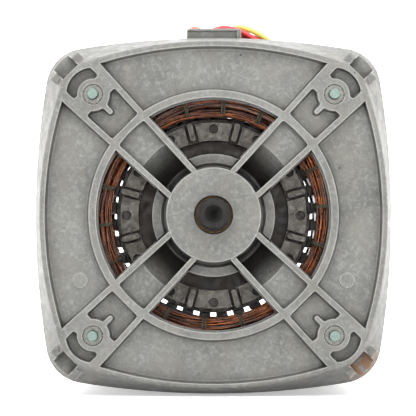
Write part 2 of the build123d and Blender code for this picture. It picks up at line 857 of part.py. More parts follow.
def build_switch():
    base = tube(26.0, 15.4, switch_base_near, hub_back)
    base += block((-17, 17), (20, 32.5), (switch_base_near, hub_back))
    base -= block((-13.2, 13.2), (25.2, 30.0), (switch_base_near - 5, hub_back + 1))
    for side in (-1, 1):
        x = sorted((side * 13.4, side * 15.8))
        base += block(x, (25.2, 29.8), (switch_pivot_depth - 1.8, hub_back))
    base -= switch_pin_shape(switch_pin_radius, 60)
    screw_hole = Pos(switch_screw_circle, 0, 0) * disc(1.1, switch_base_near - 1, hub_back + 1)
    base = base - [Rot(0, 0, a) * screw_hole for a in switch_screw_angles]
    save("switch_base", base)
    save("switch_pivot_pin", switch_pin_shape(switch_pin_radius, 33))

    screw = disc(0.9, hub_back - base_thickness, hub_back + 3.5)
    screw += disc(1.9, switch_base_near - 1.0, switch_base_near)
    placed = [Rot(0, 0, a) * Pos(switch_screw_circle, 0, 0) * screw for a in switch_screw_angles]
    save("switch_screws", *placed)

    crosspiece = block((-13.0, 13.0), (22.5, 29.5), (arm_near, arm_far))
    prongs = [block(sorted((s * 9.6, s * 13.0)), (-9.0, 23.0), (arm_near, arm_far)) for s in (-1, 1)]
    knuckle = Pos(0, switch_pivot_y, -switch_pivot_depth) * Rot(0, 90, 0) * Cylinder(1.7, 26)
    arm = crosspiece + prongs[0] + prongs[1] + knuckle
    arm -= switch_pin_shape(switch_pin_radius + 0.06, 60)
    save("switch_arm", arm)

    contact_y, contact_x = -7.0, 11.3
    gap = 0.05
    contact = disc(1.3, arm_far + gap, switch_base_near)
    tab = block((-2.2, 2.2), (-4.0, 1.6), (switch_base_near - 0.45, switch_base_near))
    spots = [Pos(s * contact_x, contact_y - 5.6, 0) * tab for s in (-1, 1)]
    rivets = [Pos(s * contact_x, contact_y, 0) * contact for s in (-1, 1)]
    bars = [
        Pos(s * contact_x, contact_y, 0) * block((-1.5, 1.5), (-6.0, 0), (switch_base_near - 0.3, switch_base_near))
        for s in (-1, 1)
    ]
    save("switch_contacts", *[r + b + t for r, b, t in zip(rivets, bars, spots)])


# ---------------------------------------------------------------- terminals and leads
def upright(x, depth):
    """The place of something that stands up from the top of the motor."""
    return Pos(x, 0, -depth) * Rot(-90, 0, 0)


def peg(radius, height):
    return Cylinder(radius, height, align=(Align.CENTER, Align.CENTER, Align.MIN))


def build_terminals():
    board = block((-board_half_width, board_half_width), (board_bottom, board_top), (board_near, board_far))
    for sx in (-1, 1):
        screw_place = upright(sx * terminal_screw_x, terminal_screw_depth)
        board -= screw_place * Pos(0, 0, board_bottom - 5) * peg(terminal_screw_radius + 0.2, 12)
    save("terminal_board", board)

    tabs, sleeves = [], []
    for n, far in ((-1, tab_far), (0, middle_tab_far), (1, tab_far)):
        x, half = n * tab_pitch, tab_width / 2
        tab = block((x - half, x + half), (board_top, board_top + tab_thickness), (tab_near, far))
        rivet = upright(x, rivet_depth) * Pos(0, 0, board_top + tab_thickness) * peg(rivet_radius, 0.8)
        tabs.append(tab + rivet)
        height = (tab_middle - sleeve_half_height, tab_middle + sleeve_half_height)
        sleeve = block((x - sleeve_half_width, x + sleeve_half_width), height, (sleeve_near, sleeve_far))
        sleeve = fillet(sleeve.edges().filter_by(Axis.Z), 1.3)
        wire_end = Pos(x, tab_middle, 0) * disc(lead_radius + running_fit, sleeve_near - 1, sleeve_near + 3.02)
        sleeves.append(sleeve - tab - wire_end)
    save("terminal_tabs", *tabs)
    save("lead_connectors", *sleeves)

    shank = Pos(0, 0, -terminal_screw_length) * peg(terminal_screw_radius, terminal_screw_length)
    head = peg(terminal_head_radius, terminal_head_height)
    slot = Pos(0, 0, terminal_head_height - 0.2) * Box(6, 0.7, 1.2)
    places = [upright(sx * terminal_screw_x, terminal_screw_depth) * Pos(0, 0, board_top) for sx in (-1, 1)]
    save("terminal_screws", *[place * (shank + head - slot) for place in places])


def lead_tube(points):
    """A wire along straight runs joined by arcs as large as the runs allow."""
    runs = [(Vector(*b) - Vector(*a)).length for a, b in zip(points, points[1:])]
    radii = []
    for n in range(1, len(points) - 1):
        before = Vector(*points[n]) - Vector(*points[n - 1])
        after = Vector(*points[n + 1]) - Vector(*points[n])
        half_turn = radians(before.get_angle(after)) / 2
        radii.append(0.45 * min(runs[n - 1], runs[n]) / tan(half_turn))
    path = FilletPolyline(*points, radius=radii)
    section = Plane(origin=path @ 0, z_dir=path % 0) * Circle(lead_radius)
    return sweep(section, path=path)


def lead_routes():
    """Wire routes as (x, y up, depth): grommet, over the stack, into the connectors."""
    start_angle = {"red": 205, "yellow": 335, "orange": 90}
    foot = {}
    for name, angle in start_angle.items():
        dx = lead_bundle_radius * cos(radians(angle))
        dd = lead_bundle_radius * sin(radians(angle))
        foot[name] = (grommet_x + dx, grommet_depth + dd)
    end = sleeve_near + 3.0
    return {
        "lead_red": [
            (foot["red"][0], lead_foot, foot["red"][1]),
            (foot["red"][0], 68.6, foot["red"][1]),
            (11.2, 75.0, 27.9),
            (4.6, 77.1, 32.5),
            (-0.6, 76.7, 42.0),
            (0.0, tab_middle, 55.0),
            (0.0, tab_middle, end),
        ],
        "lead_yellow": [
            (foot["yellow"][0], lead_foot, foot["yellow"][1]),
            (foot["yellow"][0], 69.6, foot["yellow"][1]),
            (16.6, 74.9, 26.6),
            (10.2, 77.3, 31.5),
            (7.4, 77.0, 42.0),
            (tab_pitch, tab_middle, 56.0),
            (tab_pitch, tab_middle, end),
        ],
        "lead_orange": [
            (foot["orange"][0], lead_foot, foot["orange"][1]),
            (foot["orange"][0], 70.4, foot["orange"][1]),
            (11.2, 74.0, 31.0),
            (-1.0, 73.9, 31.6),
            (-7.8, 76.8, 34.6),
            (-9.0, 77.2, 42.0),
            (-tab_pitch, tab_middle, 56.0),
            (-tab_pitch, tab_middle, end),
        ],
    }


def build_leads():
    for name, route in lead_routes().items():
        save(name, lead_tube([(x, y, -d) for x, y, d in route]))
    inside, outside = exit_floor - exit_pad_height, exit_floor
    play = 0.05
    place = upright(grommet_x, grommet_depth)
    flange = peg(grommet_waist + grommet_flange, grommet_lip)
    body = place * Pos(0, 0, inside - play) * peg(grommet_waist - seat_fit, outside - inside + 2 * play)
    body += place * Pos(0, 0, outside + play) * flange
    body += place * Pos(0, 0, inside - play - grommet_lip) * flange
    save("lead_grommet", body - place * Pos(0, 0, inside - 5) * peg(grommet_bore, 20))


os.makedirs("parts", exist_ok=True)
build_shields()
build_fasteners()
build_stator()
build_windings()
build_shaft()
build_rotor()
build_bearings()
build_governor()
build_switch()
build_terminals()
build_leads()
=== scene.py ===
"""Finishes for an open-frame induction motor: wound copper, threads, leads and metals.

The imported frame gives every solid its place. This file gives the solids their
finishes, and adds the wound strands, the lacing, the bolt threads and the insulated
connectors that stand for plainer solids of the frame.
"""

from math import cos, pi, radians, sin, tau
from random import Random

import bpy
from bpy.props import FloatProperty, FloatVectorProperty, IntProperty, PointerProperty
from bpy.types import Operator, Panel, PropertyGroup
from mathutils import Matrix, Vector


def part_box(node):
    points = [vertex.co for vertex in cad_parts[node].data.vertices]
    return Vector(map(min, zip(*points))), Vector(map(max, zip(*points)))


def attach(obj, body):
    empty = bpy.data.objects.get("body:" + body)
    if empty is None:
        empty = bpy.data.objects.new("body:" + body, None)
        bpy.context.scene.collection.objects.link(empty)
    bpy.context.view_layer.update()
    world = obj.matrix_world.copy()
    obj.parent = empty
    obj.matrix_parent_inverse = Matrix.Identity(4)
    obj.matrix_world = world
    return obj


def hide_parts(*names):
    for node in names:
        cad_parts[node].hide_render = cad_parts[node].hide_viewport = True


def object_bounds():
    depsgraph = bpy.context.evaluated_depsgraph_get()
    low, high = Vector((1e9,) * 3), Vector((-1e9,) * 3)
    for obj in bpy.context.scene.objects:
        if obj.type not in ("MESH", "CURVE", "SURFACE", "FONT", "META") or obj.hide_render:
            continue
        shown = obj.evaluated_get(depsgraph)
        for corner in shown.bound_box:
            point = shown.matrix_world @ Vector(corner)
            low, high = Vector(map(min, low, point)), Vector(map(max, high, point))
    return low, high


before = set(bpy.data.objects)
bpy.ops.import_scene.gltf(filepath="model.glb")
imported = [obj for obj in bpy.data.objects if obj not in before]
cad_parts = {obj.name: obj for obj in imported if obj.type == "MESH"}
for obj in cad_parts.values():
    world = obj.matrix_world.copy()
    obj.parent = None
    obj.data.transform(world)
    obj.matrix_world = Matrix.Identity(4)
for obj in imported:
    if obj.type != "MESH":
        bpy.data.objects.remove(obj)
cad_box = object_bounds()

bl_info = {
    "name": "Open-frame motor",
    "version": (1, 0, 0),
    "blender": (4, 5, 0),
    "location": "View3D > Sidebar > Motor",
    "description": "Windings, threads, leads and finishes for an open-frame induction motor",
    "category": "Add Mesh",
}

MM = 0.001

# Sunk slopes of the arms, where shade is painted: their depths below the front face, and the radii where
# they end
SLOPE_TOP = 4.2 * MM
SLOPE_FOOT = 10.5 * MM
SLOPE_REACH = 35.5 * MM
SLOPE_FULL = 33.0 * MM

# The stained corner notch: its depth, its size, and its place as a share of the half width
NOTCH_DEPTH = 14.5 * MM
NOTCH_RADIUS = 11 * MM
NOTCH_SHARE = 0.835

# Wound rings: inner and outer radius, and how far the start winding's bore swells inwards
START_TURNS = {"front": (41.6 * MM, 48.6 * MM), "rear": (43.1 * MM, 48.6 * MM)}
MAIN_TURNS = {"front": (49.1 * MM, 59.4 * MM), "rear": (49.1 * MM, 59.4 * MM)}
START_SWELL = 1.0 * MM
CORE_INSET = 1.3 * MM
BUNDLE_CORNER = 1.8 * MM

# Lacing cord: its loops' bore and outside, their number, and how far each tie's two turns
# stand from the tie's middle, in cord thicknesses at the ring's mean radius
LACING_BORE = {"front": 40.7 * MM, "rear": 42.5 * MM}
LACING_OUTER = 59.9 * MM
LACING_TIES = 18
LACING_SPACING = 0.55
LACING_MEAN = 50 * MM

# Through bolts
BOLT_RADIUS = 2.4 * MM
BOLT_AT = 47.625 * MM
THREAD_TURNS = 7
HEAD_ACROSS = 7.9 * MM
FLANGE_RADIUS = 4.4 * MM
FLANGE_DEPTH = 0.7 * MM

# Insulated connectors
CONNECTOR_PITCH = 7.6 * MM
CONNECTOR_HALF = 3.5 * MM
CONNECTOR_MOUTH = 2.5 * MM

# Paper sweep: its width, its length, its wall and where that wall stands
SHEET_WIDTH = 10.0
SHEET_DEPTH = 8.0
SHEET_HEIGHT = 4.0
SHEET_BACK = 3.0


def node_box(name):
    """A node's low and high corners, as vectors in metres."""
    low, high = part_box(name)
    return Vector(low), Vector(high)


# ------------------------------------------------------------------ settings
def colour(name, description, default):
    """A colour setting."""
    return FloatVectorProperty(
        name=name, description=description, default=default, subtype="COLOR", min=0, max=1
    )


def length(name, description, default):
    """A length setting, in metres."""
    return FloatProperty(name=name, description=description, default=default, unit="LENGTH", precision=5)


def power(name, description, default):
    """A lamp's power setting, in watts."""
    return FloatProperty(name=name, description=description, default=default, unit="POWER")


class MotorColours(PropertyGroup):
    """The colours of the motor's finishes."""

    casting: colour("Casting", "Die-cast aluminium of the end shields", (0.128, 0.128, 0.121))
    # The grime colour paints dirt specks and pores, and also painted shade in corners and on the arms' sunk
    # slopes
    grime_and_shade: colour("Grime", "Dirt that gathers in corners of the casting", (0.014, 0.013, 0.011))
    rust: colour("Rust", "Stain in one corner notch", (0.16, 0.075, 0.03))
    copper: colour("Copper", "Fresh enamelled copper wire", (0.46, 0.115, 0.018))
    burnt: colour("Burnt copper", "Darkest enamelled wire", (0.040, 0.010, 0.004))
    film: colour("Slot film", "Varnished slot liners and wedges", (0.012, 0.013, 0.015))
    rotor: colour("Rotor casting", "Cast end rings and fan blades", (0.066, 0.061, 0.053))
    iron: colour("Iron", "Oxidised steel laminations", (0.012, 0.0105, 0.009))
    shaft: colour("Shaft", "Ground shaft steel", (0.014, 0.0135, 0.013))
    zinc: colour("Zinc", "Plated nuts and screws", (0.12, 0.12, 0.11))
    bolt: colour("Bolt plating", "Pale green passivated bolts", (0.120, 0.165, 0.145))
    red: colour("Red lead", "Insulation of the first lead", (0.58, 0.022, 0.030))
    orange: colour("Orange lead", "Insulation of the second lead", (0.72, 0.105, 0.060))
    yellow: colour("Yellow lead", "Insulation of the third lead", (0.52, 0.42, 0.075))
    cord: colour("Lacing cord", "Waxed cord round the end turns", (0.075, 0.070, 0.045))
    bronze: colour("Bronze", "Sintered bronze of the bearings", (0.20, 0.12, 0.05))
    felt: colour("Felt", "Oiled felt", (0.16, 0.13, 0.08))
    spring: colour("Spring steel", "Retainers, cap and pivot pin", (0.30, 0.29, 0.27))
    rolled: colour("Rolled steel", "Governor plate, pins and spring", (0.34, 0.33, 0.29))
    pressed: colour("Pressed steel", "Governor weights", (0.25, 0.24, 0.21))
    brass: colour("Tinned brass", "Terminal tabs and contacts", (0.42, 0.36, 0.22))
    board: colour("Board", "Terminal board and switch base", (0.060, 0.036, 0.022))
    black: colour("Black moulding", "Switch arm and governor collar", (0.014, 0.014, 0.015))
    thrust: colour("Thrust fibre", "Thrust washers", (0.10, 0.05, 0.025))
    rubber: colour("Rubber", "Lead grommet", (0.015, 0.015, 0.016))
    sleeve: colour("Sleeve", "Milky sleeves over the terminals", (0.62, 0.60, 0.52))


class MotorSizes(PropertyGroup):
    """The sizes of the pieces modelled here."""

    strand: length("Strand", "Diameter of one winding wire", 0.00066)
    strand_rows: IntProperty(
        name="Strand rows", description="Wires round a bundle's outline", default=52, min=8
    )
    lacing: length("Lacing", "Diameter of the lacing cord", 0.0008)
    thread_pitch: length("Thread pitch", "Rise of the bolt thread in one turn", 0.00106)
    thread_depth: length("Thread depth", "Height of the bolt thread", 0.00042)
    sleeve_wall: length("Sleeve wall", "Wall of the insulated connectors", 0.0006)


class StageSettings(PropertyGroup):
    """The floor, the lights and the camera."""

    distance: length("Camera distance", "From the camera to the front face", 0.95)
    view_width: length("View width", "Width of the view at the front face", 0.1641)
    elevation: FloatProperty(
        name="Camera elevation", description="Above the shaft axis", default=radians(-1.0), subtype="ANGLE"
    )
    aim_x: length("Aim X", "What the camera looks at, left and right", -0.0022)
    aim_z: length("Aim Z", "What the camera looks at, up and down", 0.0027)
    key: power("Key light", "Power of the light above", 3.1)
    fill: power("Fill light", "Power of the light in front", 3.7)
    side: power("Side lights", "Power of each light at the side", 1.5)


# ------------------------------------------------------------------ materials
class Finish:
    """A procedural material on object coordinates, built up one layer at a time."""

    def __init__(self, name, metallic=0.0, roughness=0.5, coat=0.0, specular=0.5):
        self.material = bpy.data.materials.new(name)
        self.material.use_nodes = True
        self.tree = self.material.node_tree
        self.shader = self.tree.nodes["Principled BSDF"]
        self.shader.inputs["Metallic"].default_value = metallic
        self.shader.inputs["Roughness"].default_value = roughness
        self.shader.inputs["Coat Weight"].default_value = coat
        self.shader.inputs["Coat Roughness"].default_value = 0.12
        self.shader.inputs["Specular IOR Level"].default_value = specular
        self.place = self.add("ShaderNodeTexCoord").outputs["Object"]

    def add(self, kind, links=None, **settings):
        """A node with its settings, and its inputs linked or set."""
        node = self.tree.nodes.new(kind)
        for key, value in settings.items():
            setattr(node, key, value)
        for key, value in (links or {}).items():
            self.feed(node.inputs[key], value)
        return node

    def feed(self, socket, value):
        """Links a socket to another, or sets its value."""
        if isinstance(value, bpy.types.NodeSocket):
            self.tree.links.new(value, socket)
        elif hasattr(value, "__len__") and len(value) == 3 and socket.type == "RGBA":
            socket.default_value = (*value, 1)
        else:
            socket.default_value = value

    def spread(self, value, low, high, to_low=0.0, to_high=1.0):
        """Maps a value from one range to another, clamped."""
        links = {"Value": value, "From Min": low, "From Max": high, "To Min": to_low, "To Max": to_high}
        return self.add("ShaderNodeMapRange", links).outputs["Result"]

    def stretched(self, scale):
        """Object coordinates scaled along each axis."""
        return self.add("ShaderNodeMapping", {"Vector": self.place, "Scale": scale}).outputs["Vector"]

    def noise(self, size, low=0.35, high=0.65, detail=4.0, stretch=None, distortion=0.0):
        """Cloudy noise from 0 to 1, with features of about the given size in metres."""
        where = self.stretched(stretch) if stretch else self.place
        links = {"Vector": where, "Scale": 1 / size, "Detail": detail, "Distortion": distortion}
        return self.spread(self.add("ShaderNodeTexNoise", links).outputs["Fac"], low, high)

    def bands(self, period, axis="Y", distortion=0.0, rings=False):
        """Even bands along an axis, or rings about it, from 0 to 1."""
        settings = {"wave_type": "RINGS" if rings else "BANDS"}
        settings["rings_direction" if rings else "bands_direction"] = axis
        links = {"Vector": self.place, "Scale": tau / 20 / period, "Distortion": distortion}
        return self.add("ShaderNodeTexWave", links, **settings).outputs["Fac"]

    def dots(self, spacing, size):
        """Sparse round specks, 1 inside."""
        links = {"Vector": self.place, "Scale": 1 / spacing}
        distance = self.add("ShaderNodeTexVoronoi", links).outputs["Distance"]
        return self.spread(distance, size, size * 0.6)

    def corners(self, reach, low=0.25, high=0.85):
        """1 deep in corners and hollows within reach, 0 in the open: a mask for painted shade, from ambient
        occlusion.
        """
        shade = self.add("ShaderNodeAmbientOcclusion", {"Distance": reach}, samples=6).outputs["AO"]
        return self.spread(shade, low, high, 1.0, 0.0)

    def edges(self, radius, low=0.015, high=0.16):
        """1 on sharp edges, 0 on flat faces: a mask for painted highlights."""
        soft = self.add("ShaderNodeBevel", {"Radius": radius}, samples=4).outputs["Normal"]
        true = self.add("ShaderNodeNewGeometry").outputs["Normal"]
        match = self.math("DOT_PRODUCT", soft, true, vector=True)
        return self.spread(match, 1 - low, 1 - high)

    def math(self, operation, a, b=0.0, vector=False):
        """One arithmetic step."""
        kind = "ShaderNodeVectorMath" if vector else "ShaderNodeMath"
        node = self.add(kind, operation=operation)
        self.feed(node.inputs[0], a)
        self.feed(node.inputs[1], b)
        return node.outputs["Value"]

    def times(self, a, b):
        return self.math("MULTIPLY", a, b)

    def mixed(self, first, second, amount):
        """A colour between two colours."""
        node = self.add("ShaderNodeMix", data_type="RGBA")
        for index, value in ((0, amount), (6, first), (7, second)):
            self.feed(node.inputs[index], value)
        return node.outputs[2]

    def within(self, centre, radius, softness=0.5):
        """1 near a point, fading to 0 at the radius."""
        gap = self.add("ShaderNodeVectorMath", operation="DISTANCE")
        self.feed(gap.inputs[0], self.place)
        gap.inputs[1].default_value = centre
        return self.spread(gap.outputs["Value"], radius, radius * softness)

    def paint(self, value):
        self.feed(self.shader.inputs["Base Color"], value)
        return self

    def rough(self, value):
        self.feed(self.shader.inputs["Roughness"], value)
        return self

    def bump(self, height, depth, normal=None):
        """Raises the surface by a height from 0 to 1 over a depth in metres."""
        node = self.add("ShaderNodeBump", {"Height": height, "Distance": depth, "Strength": 1.0})
        if normal is not None:
            self.feed(node.inputs["Normal"], normal)
        self.feed(self.shader.inputs["Normal"], node.outputs["Normal"])
        return node.outputs["Normal"]


def rounded_edges(finish, radius):
    """A normal that rounds off sharp edges."""
    return finish.add("ShaderNodeBevel", {"Radius": radius}, samples=4).outputs["Normal"]


def arm_slope_shade(f):
    """1 on the sunk slopes of the four arms near the hub, 0 elsewhere: where shade is painted."""
    x, y, z = f.add("ShaderNodeSeparateXYZ", {"Vector": f.place}).outputs
    reach = f.math("ADD", f.times(x, x), f.times(z, z))
    diagonal = f.math("DIVIDE", f.math("ABSOLUTE", f.times(x, z)), reach)
    middle = (node_box("front_end_shield")[0].y + node_box("rear_end_shield")[1].y) / 2
    from_middle = f.math("ABSOLUTE", f.math("SUBTRACT", y, middle))
    slope = f.spread(from_middle, middle - SLOPE_TOP, middle - SLOPE_FOOT)
    near_hub = f.spread(reach, SLOPE_REACH**2, SLOPE_FULL**2)
    # the share x*z / r^2 is 0.5 along a diagonal and 0 along an axis
    return f.times(f.times(slope, near_hub), f.spread(diagonal, 0.395, 0.415))


def cast_aluminium(tones):
    """Die-cast skin: cloudy grey, painted highlights on edges and crests, painted shade in corners and on
    the arms' sunk slopes, pores and one rust stain.
    """
    f = Finish("cast_aluminium", metallic=0.4, roughness=0.5, specular=0.4)
    base = tuple(tones.casting)
    dull = tuple(c * 0.72 for c in base)
    pale = tuple(min(1.0, c * 2.6) for c in base)
    grime_and_shade = tuple(tones.grime_and_shade)
    skin = f.mixed(base, dull, f.noise(0.03, 0.40, 0.66, detail=6, distortion=1.2))
    skin = f.mixed(skin, pale, f.times(f.noise(0.0016, 0.46, 0.80, detail=8, distortion=0.6), 0.34))
    skin = f.mixed(skin, grime_and_shade, f.times(f.noise(0.0007, 0.50, 0.80, detail=6), 0.30))
    warm = tuple(c * k for c, k in zip(base, (1.02, 0.98, 0.88)))
    skin = f.mixed(skin, warm, f.times(f.noise(0.011, 0.45, 0.7), 0.6))
    # painted highlight along the edges and rib crests
    skin = f.mixed(skin, pale, f.times(f.edges(0.0010), 1.0))
    # painted shade on the arms' sunk slopes near the hub
    skin = f.mixed(skin, grime_and_shade, f.times(arm_slope_shade(f), 0.9))
    # painted shade in corners and hollows, wide and narrow, from ambient occlusion
    skin = f.mixed(skin, grime_and_shade, f.times(f.corners(0.0060, 0.30, 0.95), 0.40))
    skin = f.mixed(skin, grime_and_shade, f.times(f.corners(0.0022, 0.30, 0.85), 1.0))
    skin = f.mixed(skin, grime_and_shade, f.times(f.dots(0.012, 0.045), 0.8))
    low, high = node_box("front_end_shield")
    notch = (high.x * NOTCH_SHARE, low.y + NOTCH_DEPTH, low.z * NOTCH_SHARE)
    stain = f.times(f.within(notch, NOTCH_RADIUS, 0.3), f.noise(0.003, 0.36, 0.56))
    skin = f.mixed(skin, tuple(tones.rust), f.times(stain, 0.85))
    f.paint(skin)
    f.rough(f.spread(f.noise(0.004, 0.3, 0.7), 0, 1, 0.40, 0.58))
    f.bump(f.noise(0.0009, 0.2, 0.8, detail=5), 0.00007, rounded_edges(f, 0.0005))
    return f.material


def laminated(name, tone, period=0.0005, shine=0.35):
    """A stack of steel sheets seen edge-on."""
    f = Finish(name, metallic=0.7, roughness=0.5)
    dark = tuple(c * 0.45 for c in tone)
    sheets = f.bands(period, "Y", 0.4)
    skin = f.mixed(tone, dark, f.times(sheets, 0.8))
    brown = tuple(c * k for c, k in zip(tone, (1.25, 0.9, 0.65)))
    skin = f.mixed(skin, brown, f.times(f.noise(0.006, 0.45, 0.65), 0.7))
    f.paint(skin)
    f.rough(f.spread(f.noise(0.003), 0, 1, shine, shine + 0.25))
    f.bump(sheets, 0.00008)
    return f.material


def stained_casting(tones):
    """Rotor casting: grey aluminium with brown oil stains, painted highlights on edges and painted shade in
    corners.
    """
    f = Finish("rotor_casting", metallic=0.5, roughness=0.45)
    base = tuple(tones.rotor)
    brown = tuple(c * k for c, k in zip(base, (0.42, 0.36, 0.28)))
    pale = tuple(min(1, c * 2.6) for c in base)
    skin = f.mixed(base, brown, f.noise(0.0045, 0.42, 0.66, detail=6, distortion=0.8))
    skin = f.mixed(skin, pale, f.times(f.noise(0.0015, 0.52, 0.74), 0.5))
    # painted highlight along the edges and blade tops
    skin = f.mixed(skin, pale, f.times(f.edges(0.0006), 0.95))
    # painted shade in corners and between the blades
    skin = f.mixed(skin, (0.012, 0.010, 0.008), f.times(f.corners(0.0035, 0.35, 0.90), 0.97))
    f.paint(skin)
    f.rough(f.spread(f.noise(0.002), 0, 1, 0.32, 0.55))
    f.bump(f.noise(0.0007, 0.2, 0.8, detail=4), 0.00008, rounded_edges(f, 0.0004))
    return f.material


def enamelled_copper(tones):
    """Varnished magnet wire: each strand has its own tone."""
    f = Finish("enamelled_copper", metallic=0.45, roughness=0.32, coat=0.35)
    per_strand = f.add("ShaderNodeNewGeometry").outputs["Random Per Island"]
    skin = f.mixed(tuple(tones.burnt), tuple(tones.copper), f.spread(per_strand, 0.18, 0.95))
    tarnish = f.noise(0.005, 0.42, 0.62, detail=3)
    skin = f.mixed(skin, tuple(tones.burnt), f.times(tarnish, 0.65))
    # painted shade in the hollows between strands
    skin = f.mixed(skin, (0.010, 0.006, 0.004), f.times(f.corners(0.0022, 0.25, 0.95), 0.95))
    f.paint(skin)
    f.rough(f.spread(f.noise(0.002), 0, 1, 0.22, 0.42))
    f.bump(f.noise(0.0006), 0.00002)
    return f.material


def dark_film(tones):
    """Black varnished film, wrinkled, with a green-brown tinge."""
    f = Finish("slot_film", roughness=0.35, coat=0.25)
    tinge = (0.035, 0.036, 0.022)
    f.paint(f.mixed(tuple(tones.film), tinge, f.noise(0.002, 0.45, 0.7)))
    f.rough(f.spread(f.noise(0.0012), 0, 1, 0.22, 0.6))
    f.bump(f.noise(0.0011, detail=5), 0.00016)
    return f.material


def turned_steel(name, tone, ring=0.00022, metallic=0.85, roughness=(0.28, 0.45)):
    """Turned or ground steel, with fine rings about the shaft axis."""
    f = Finish(name, metallic=metallic)
    dark = tuple(c * 0.5 for c in tone)
    rings = f.bands(ring, "Y", 1.5, rings=True)
    skin = f.mixed(tone, dark, f.times(f.noise(0.002, 0.42, 0.68, detail=5), 0.7))
    # painted highlight along the edges
    skin = f.mixed(skin, tuple(min(1, c * 1.8) for c in tone), f.times(f.edges(0.0005), 0.6))
    f.paint(skin)
    f.rough(f.spread(f.noise(0.0015), 0, 1, *roughness))
    f.bump(rings, 0.000012, rounded_edges(f, 0.0004))
    return f.material


def plated(name, tone, metallic=0.75):
    """Zinc plating: mottled, with painted shade in its corners."""
    f = Finish(name, metallic=metallic, roughness=0.35)
    dark = tuple(c * 0.5 for c in tone)
    skin = f.mixed(tone, dark, f.times(f.noise(0.0012, 0.45, 0.68), 0.55))
    # painted shade in the corners
    skin = f.mixed(skin, (0.012, 0.014, 0.013), f.times(f.corners(0.0008, 0.25, 0.8), 0.9))
    f.paint(skin)
    f.rough(f.spread(f.noise(0.001), 0, 1, 0.24, 0.46))
    f.bump(f.noise(0.0006), 0.00002)
    return f.material


def moulded(name, tone, roughness=(0.4, 0.6), grain=0.0006, coat=0.0):
    """Moulded plastic or fibre board, with a fine grain and handling marks."""
    f = Finish(name, coat=coat)
    dark = tuple(c * 0.6 for c in tone)
    f.paint(f.mixed(tone, dark, f.times(f.noise(0.004, 0.42, 0.66), 0.5)))
    f.rough(f.spread(f.noise(0.003), 0, 1, *roughness))
    f.bump(f.noise(grain, detail=3), 0.00003, rounded_edges(f, 0.0003))
    return f.material


def insulation(name, tone):
    """Extruded wire insulation, with faint draw lines and smudges."""
    f = Finish(name, roughness=0.38, coat=0.12)
    dark = tuple(c * 0.55 for c in tone)
    f.paint(f.mixed(tone, dark, f.times(f.noise(0.006, 0.50, 0.72), 0.55)))
    f.rough(f.spread(f.noise(0.002), 0, 1, 0.30, 0.52))
    f.bump(f.noise(0.0009), 0.00003)
    return f.material


def fibre(name, tone):
    """Felt or cord: matted fibres."""
    f = Finish(name, roughness=0.9)
    dark = tuple(c * 0.4 for c in tone)
    f.paint(f.mixed(tone, dark, f.noise(0.0007, 0.4, 0.65, detail=6)))
    f.bump(f.noise(0.0004, detail=6), 0.00015)
    return f.material


def dress(material, names):
    """Gives CAD nodes a finish."""
    for name in names:
        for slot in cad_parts[name].material_slots:
            slot.material = material


# ------------------------------------------------------------------ modelling helpers
def nothing_selected():
    if bpy.context.mode != "OBJECT":
        bpy.ops.object.mode_set(mode="OBJECT")
    bpy.ops.object.select_all(action="DESELECT")


def only(piece):
    """Makes a piece the one selected and active object."""
    nothing_selected()
    piece.select_set(True)
    bpy.context.view_layer.objects.active = piece


def settle(piece):
    """Moves a piece's place into its mesh."""
    only(piece)
    bpy.ops.object.transform_apply(location=True, rotation=True, scale=True)
    return piece


def merged(pieces, name):
    """Joins pieces into one object with a plain name."""
    nothing_selected()
    for piece in pieces:
        piece.select_set(True)
    bpy.context.view_layer.objects.active = pieces[0]
    if len(pieces) > 1:
        bpy.ops.object.join()
    pieces[0].name = name
    return settle(pieces[0])


def copied(piece, shift):
    """A copy with its own mesh, moved by a vector."""
    twin = piece.copy()
    twin.data = piece.data.copy()
    bpy.context.collection.objects.link(twin)
    twin.location = Vector(piece.location) + Vector(shift)
    return twin


def apply_modifier(piece, kind, **settings):
    """Adds a modifier and applies it."""
    only(piece)
    modifier = piece.modifiers.new(kind.title(), kind)
    for key, value in settings.items():
        setattr(modifier, key, value)
    bpy.ops.object.modifier_apply(modifier=modifier.name)


def face_outwards(piece):
    """Turns every face of a piece outwards."""
    only(piece)
    bpy.ops.object.mode_set(mode="EDIT")
    bpy.ops.mesh.select_all(action="SELECT")
    bpy.ops.mesh.normals_make_consistent(inside=False)
    bpy.ops.object.mode_set(mode="OBJECT")


def smooth(piece, angle):
    """Smooth shading below an angle in degrees."""
    only(piece)
    bpy.ops.object.shade_smooth_by_angle(angle=radians(angle))


def finished(piece, material, body, replaces=()):
    """Gives a new piece its finish, its body and the nodes it stands for."""
    piece.data.materials.clear()
    piece.data.materials.append(material)
    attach(piece, body)
    if replaces:
        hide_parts(*replaces)


def wires(name, paths, radius, closed=False, sides=2):
    """A mesh of round wires along paths of points."""
    nothing_selected()
    data = bpy.data.curves.new(name, "CURVE")
    data.dimensions = "3D"
    data.bevel_depth = radius
    data.bevel_resolution = sides - 1
    data.use_fill_caps = not closed
    for path in paths:
        spline = data.splines.new("POLY")
        spline.points.add(len(path) - 1)
        for point, place in zip(spline.points, path):
            point.co = (*place, 1)
        spline.use_cyclic_u = closed
    piece = bpy.data.objects.new(name, data)
    bpy.context.collection.objects.link(piece)
    only(piece)
    bpy.ops.object.convert(target="MESH")
    bpy.ops.object.shade_smooth()
    return piece


